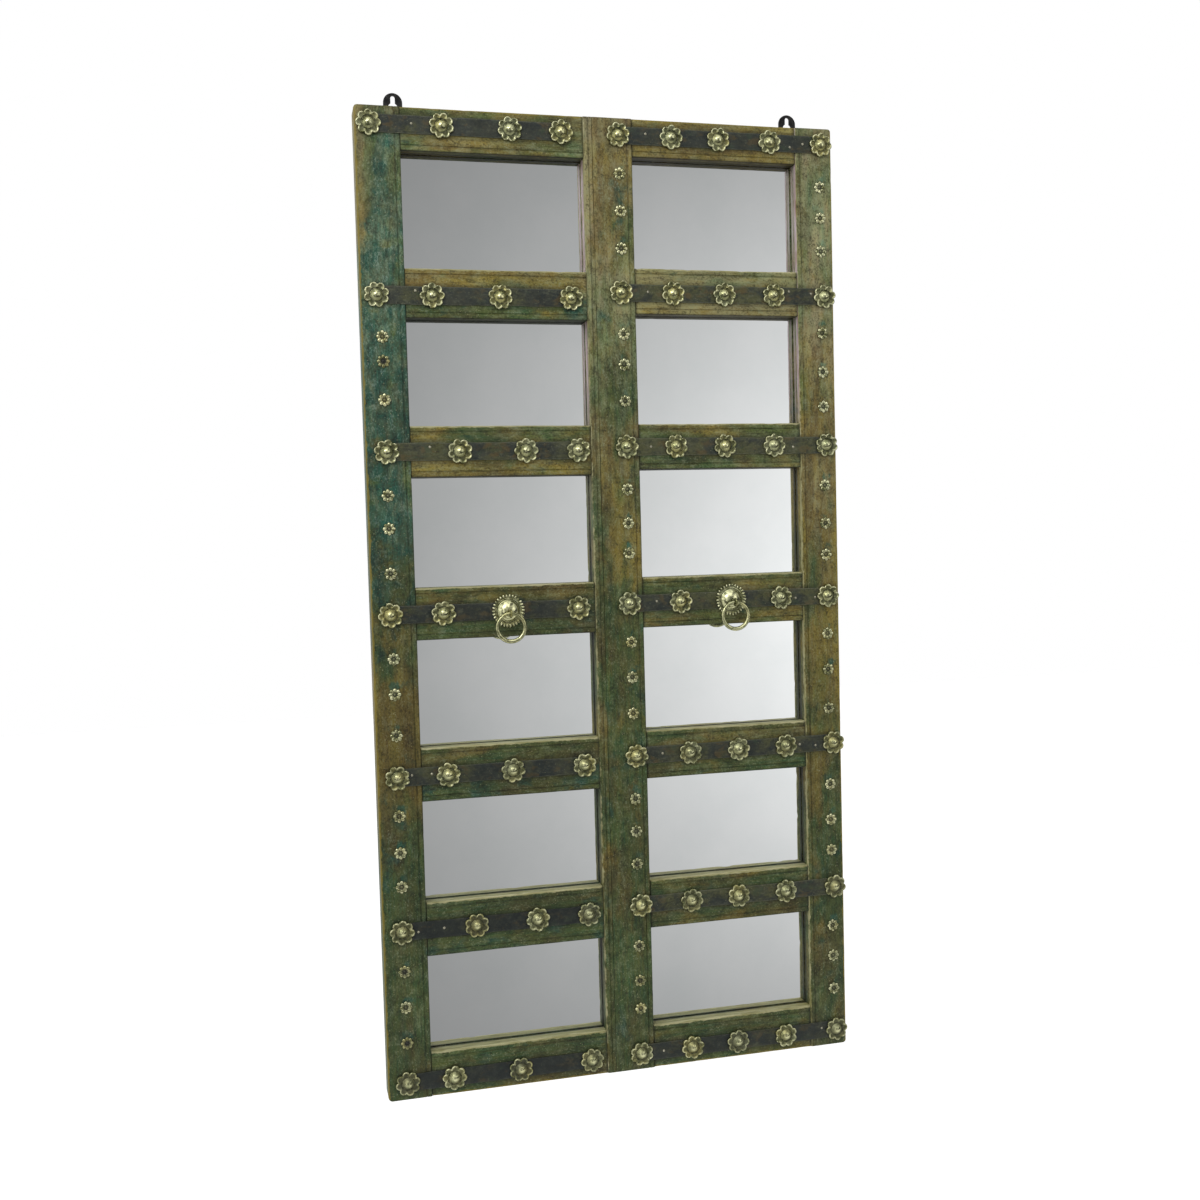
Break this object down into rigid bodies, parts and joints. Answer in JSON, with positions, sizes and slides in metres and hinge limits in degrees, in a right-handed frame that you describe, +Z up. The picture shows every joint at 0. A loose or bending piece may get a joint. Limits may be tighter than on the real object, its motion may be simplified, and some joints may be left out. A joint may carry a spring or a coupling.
{
  "type": "shutter mirror",
  "caption": "Tall wall mirror made from a pair of panelled door leaves, with iron straps, brass flower bosses, ring pulls and keyhole hanging plates.",
  "frame": {"origin": "middle of the flat back of the two leaves, at half their height, on the wall side", "axes": "+Z up along the leaves, +Y into the wall so that the mirror faces -Y, +X to the right as seen from in front"},
  "size_m": [0.9041, 0.0774, 1.8155],
  "materials": {
    "painted_timber": "old green and blue-green paint worn through to brown and ochre wood",
    "worn_timber": "ochre and brown wood with remains of green paint",
    "iron": "dark, rusted and rubbed wrought iron",
    "silvered_glass": "clear flat mirror glass",
    "backing_board": "raw brown hardboard",
    "glazing_wood": "plain planed softwood",
    "old_brass": "aged brass, yellow-green in the hollows and rubbed bright on top",
    "black_steel": "black enamelled steel",
    "screw_steel": "plain zinc screw steel"
  },
  "bodies": {
    "leaves": {"left_outer_stile": "painted_timber", "left_meeting_stile": "painted_timber", "right_meeting_stile": "worn_timber", "right_outer_stile": "painted_timber", "left_rail_1": "painted_timber", "left_rail_2": "painted_timber", "left_rail_3": "painted_timber", "left_rail_4": "painted_timber", "left_rail_5": "painted_timber", "left_rail_6": "painted_timber", "left_rail_7": "painted_timber", "right_rail_1": "painted_timber", "right_rail_2": "painted_timber", "right_rail_3": "painted_timber", "right_rail_4": "painted_timber", "right_rail_5": "painted_timber", "right_rail_6": "painted_timber", "right_rail_7": "painted_timber", "left_strap_1": "iron", "left_strap_2": "iron", "left_strap_3": "iron", "left_strap_4": "iron", "left_strap_5": "iron", "left_strap_6": "iron", "left_strap_7": "iron", "right_strap_1": "iron", "right_strap_2": "iron", "right_strap_3": "iron", "right_strap_4": "iron", "right_strap_5": "iron", "right_strap_6": "iron", "right_strap_7": "iron", "left_mirror_1": "silvered_glass", "left_mirror_2": "silvered_glass", "left_mirror_3": "silvered_glass", "left_mirror_4": "silvered_glass", "left_mirror_5": "silvered_glass", "left_mirror_6": "silvered_glass", "right_mirror_1": "silvered_glass", "right_mirror_2": "silvered_glass", "right_mirror_3": "silvered_glass", "right_mirror_4": "silvered_glass", "right_mirror_5": "silvered_glass", "right_mirror_6": "silvered_glass", "backing_boards": "backing_board", "glazing_beads": "glazing_wood", "left_bosses": "old_brass", "right_bosses": "old_brass", "rosettes": "old_brass", "strap_nails": "iron", "left_ring_plate": "old_brass", "left_ring_eye": "old_brass", "right_ring_plate": "old_brass", "right_ring_eye": "old_brass", "left_hanger": "black_steel", "right_hanger": "black_steel", "hanger_screws": "screw_steel", "lap_screws": "screw_steel"},
    "left_ring": {"left_ring": "old_brass"},
    "right_ring": {"right_ring": "old_brass"}
  },
  "joints": [
    {"name": "left_ring_swing", "type": "hinge", "parent": "leaves", "child": "left_ring", "pos_m": [-0.203, -0.069, -0.01], "axis": [-1, 0, 0], "range_deg": [-25, 180]},
    {"name": "right_ring_swing", "type": "hinge", "parent": "leaves", "child": "right_ring", "pos_m": [0.227, -0.069, -0.006], "axis": [-1, 0, 0], "range_deg": [-25, 180]}
  ]
}
